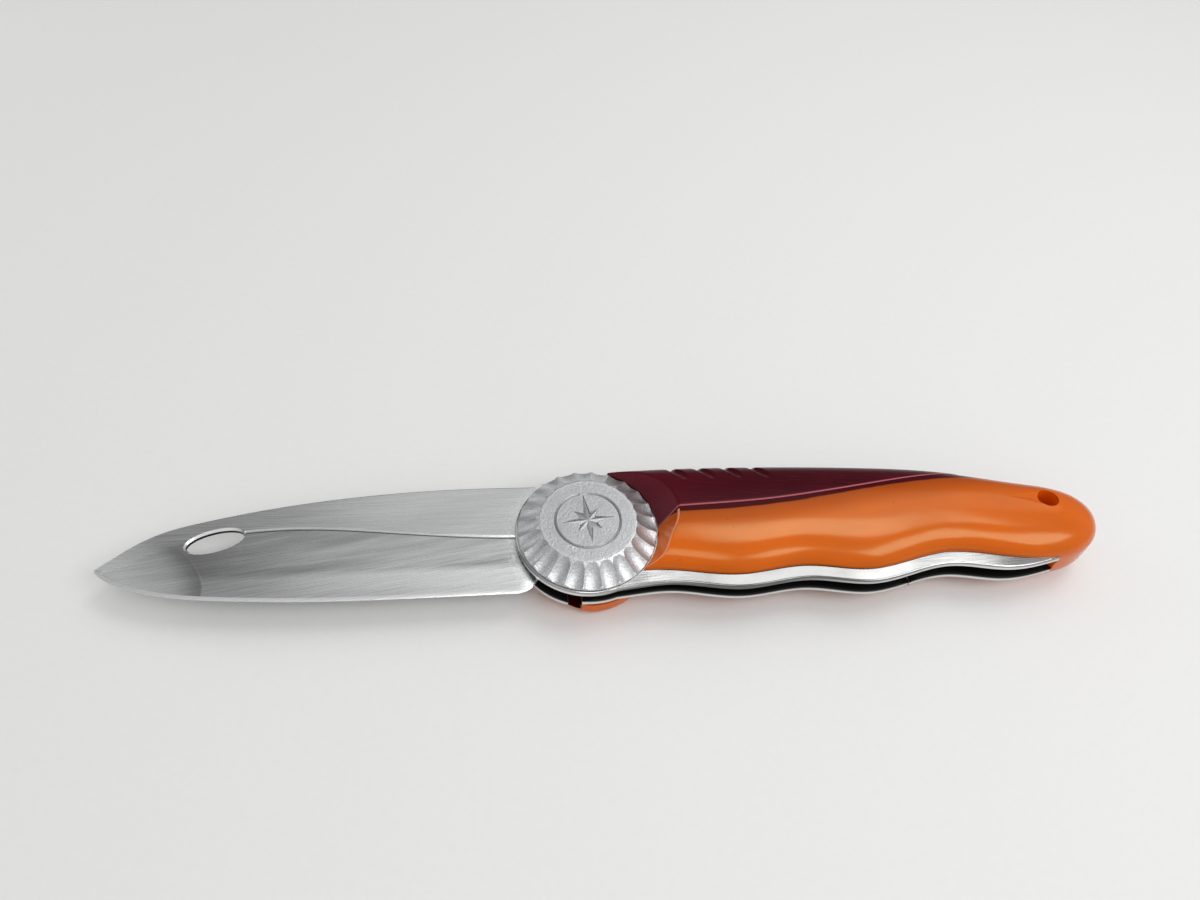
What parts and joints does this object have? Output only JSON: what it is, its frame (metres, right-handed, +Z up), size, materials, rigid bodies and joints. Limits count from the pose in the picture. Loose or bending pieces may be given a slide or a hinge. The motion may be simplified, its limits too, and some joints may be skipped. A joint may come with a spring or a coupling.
{
  "type": "folding pocket knife",
  "caption": "Open folding pocket knife: pointed blade keyed to a fluted thumb wheel, liner lock, moulded handle halves on steel liners and a lanyard hole at the butt.",
  "frame": {"origin": "on the pivot axis, at the plane the knife rests on", "axes": "+X from the pivot to the butt, +Y to the spine side, +Z up along the pivot axis through the wheel"},
  "size_m": [0.1928, 0.0278, 0.0143],
  "materials": {
    "blade_steel": "fine brushed stainless, lengthwise above the step line and slightly slanted below",
    "wheel_metal": "bead blasted matte casting",
    "liner_steel": "polished stainless with rounded edges",
    "scale_orange": "glossy, slightly translucent orange moulding",
    "grip_burgundy": "satin burgundy moulding",
    "spacer_black": "black moulded bar",
    "pin_steel": "turned steel",
    "bush_bronze": "bearing bronze"
  },
  "bodies": {
    "handle": {"front_liner": "liner_steel", "rear_liner": "liner_steel", "front_scale": "scale_orange", "rear_scale": "scale_orange", "front_grip": "grip_burgundy", "rear_grip": "grip_burgundy", "back_spacer": "spacer_black", "spacer_rivets": "pin_steel", "stop_pin": "pin_steel", "hub_bush": "bush_bronze", "screw_bush": "bush_bronze", "front_washer": "bush_bronze", "rear_washer": "bush_bronze", "front_scale_screws": "pin_steel", "rear_scale_screws": "pin_steel"},
    "blade": {"blade": "blade_steel", "thumb_wheel": "wheel_metal", "pivot_screw": "pin_steel"},
    "lock": {"lock_leaf": "liner_steel", "detent_ball": "pin_steel"}
  },
  "joints": [
    {"name": "blade_fold", "type": "hinge", "parent": "handle", "child": "blade", "pos_m": [0, 0, 0.007], "axis": [0, 0, 1], "range_deg": [0, 176], "deforming": ["lock_leaf", "detent_ball"]},
    {"name": "lock_flex", "type": "hinge", "parent": "handle", "child": "lock", "pos_m": [0.062, 0, 0.00495], "axis": [0, -1, 0], "range_deg": [0, 1.13]}
  ],
  "couplings": [
    {"joint": "lock_flex", "follows": "blade_fold", "ratio": 0.0063773}
  ]
}
